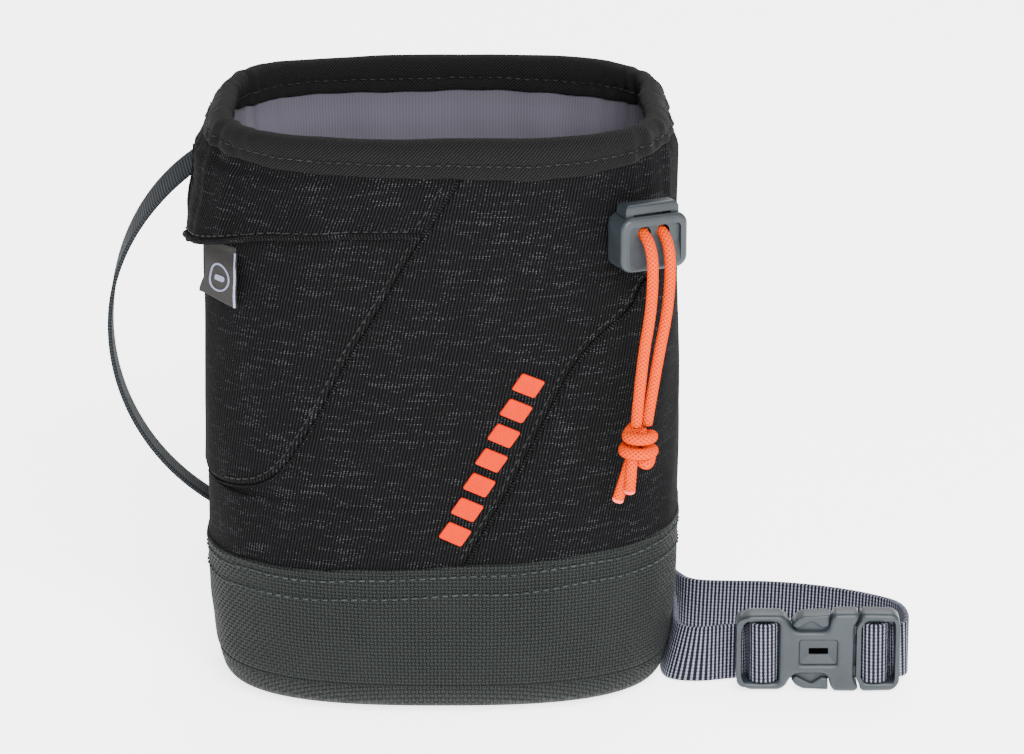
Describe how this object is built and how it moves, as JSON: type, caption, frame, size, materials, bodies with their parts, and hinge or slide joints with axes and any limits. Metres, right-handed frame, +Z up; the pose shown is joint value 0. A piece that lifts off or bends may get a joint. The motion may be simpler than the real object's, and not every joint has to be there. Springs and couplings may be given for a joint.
{
  "type": "climbing chalk bag",
  "caption": "Oval soft chalk bag with fleece-lined open mouth, flap pocket, side loop, locked drawcord with knotted end and a webbing belt with a side-release buckle.",
  "frame": {"origin": "centre of the flat underside of the base panel, on the surface the bag stands on", "axes": "+Z up towards the mouth, -Y the front with the print and the drawcord, +X towards the belt buckle"},
  "size_m": [0.2186, 0.1351, 0.1613],
  "materials": {
    "body_fabric": "matte woven",
    "band_fabric": "coarse matte weave",
    "binding_tape": "twill tape",
    "fleece": "soft fleece",
    "foam": "closed-cell foam",
    "stiffener_plastic": "matte",
    "print_rubber": "soft matte",
    "label_weave": "fine woven",
    "loop_tape": "ribbed tape",
    "belt_webbing": "ribbed webbing",
    "moulded_plastic": "fine moulded grain",
    "spring_steel": "drawn wire",
    "cord_orange": "braided cord"
  },
  "bodies": {
    "bag": {"pocket_backing_panel": "body_fabric", "lower_corner_panel": "body_fabric", "front_panel": "body_fabric", "rear_panel": "body_fabric", "pocket_front": "body_fabric", "base_band": "band_fabric", "base_panel": "band_fabric", "base_foam": "foam", "wall_foam_lower": "foam", "wall_foam_upper": "foam", "rim_stiffener": "stiffener_plastic", "fleece_lining": "fleece", "rim_binding": "binding_tape", "accent_print": "print_rubber", "side_loop": "loop_tape", "belt_loop_right": "loop_tape", "belt_loop_left": "loop_tape", "belt_waist_run": "belt_webbing", "belt_drop_right": "belt_webbing", "belt_drop_left": "belt_webbing", "belt_front_run": "belt_webbing", "belt_rear_run": "belt_webbing", "belt_hank": "belt_webbing", "buckle_female": "moulded_plastic", "drawcord_hem_loop": "cord_orange", "drawcord_feed_right": "cord_orange", "drawcord_feed_left": "cord_orange", "drawcord_eyelet": "moulded_plastic"},
    "flap": {"pocket_flap": "body_fabric"},
    "label": {"side_label": "label_weave"},
    "cord_lock": {"cord_lock_body": "moulded_plastic", "cord_lock_spring": "spring_steel", "drawcord_strand_right": "cord_orange", "drawcord_strand_left": "cord_orange", "drawcord_knot": "cord_orange"},
    "lock_button": {"cord_lock_button": "moulded_plastic"},
    "belt_end": {"buckle_male": "moulded_plastic", "belt_male_fold": "belt_webbing"},
    "latch_arm_upper": {"buckle_arm_upper": "moulded_plastic"},
    "latch_arm_lower": {"buckle_arm_lower": "moulded_plastic"}
  },
  "joints": [
    {"name": "flap_lift", "type": "hinge", "parent": "bag", "child": "flap", "pos_m": [-0.0025, -0.048, 0.1353], "axis": [-0.8142, 0.543, 0.2056], "range_deg": [0, 60], "deforming": ["pocket_flap"]},
    {"name": "label_lift", "type": "hinge", "parent": "bag", "child": "label", "pos_m": [-0.0594, -0.0277, 0.128], "axis": [-0.6947, 0.7193, 0], "range_deg": [0, 60], "deforming": ["side_label"]},
    {"name": "cord_lock_slide", "type": "slide", "parent": "bag", "child": "cord_lock", "axis": [0.4226, -0.9063, 0], "range_m": [0, 0.008]},
    {"name": "lock_button_press", "type": "slide", "parent": "cord_lock", "child": "lock_button", "axis": [0, 0, -1], "range_m": [0, 0.003], "stiffness_N_per_m": 500, "springref_m": -0.002, "deforming": ["cord_lock_spring"]},
    {"name": "buckle_release", "type": "slide", "parent": "bag", "child": "belt_end", "axis": [1, 0, 0], "range_m": [0, 0.024], "deforming": ["buckle_arm_upper", "buckle_arm_lower"]},
    {"name": "latch_upper_squeeze", "type": "hinge", "parent": "belt_end", "child": "latch_arm_upper", "pos_m": [0.1131, -0.0213, 0.0172], "axis": [0, -1, 0], "range_deg": [0, 6], "stiffness_Nm_per_rad": 0.3},
    {"name": "latch_lower_squeeze", "type": "hinge", "parent": "belt_end", "child": "latch_arm_lower", "pos_m": [0.1131, -0.0213, 0.0056], "axis": [0, 1, 0], "range_deg": [0, 6], "stiffness_Nm_per_rad": 0.3}
  ],
  "couplings": [
    {"joint": "latch_lower_squeeze", "follows": "latch_upper_squeeze", "ratio": 1}
  ]
}
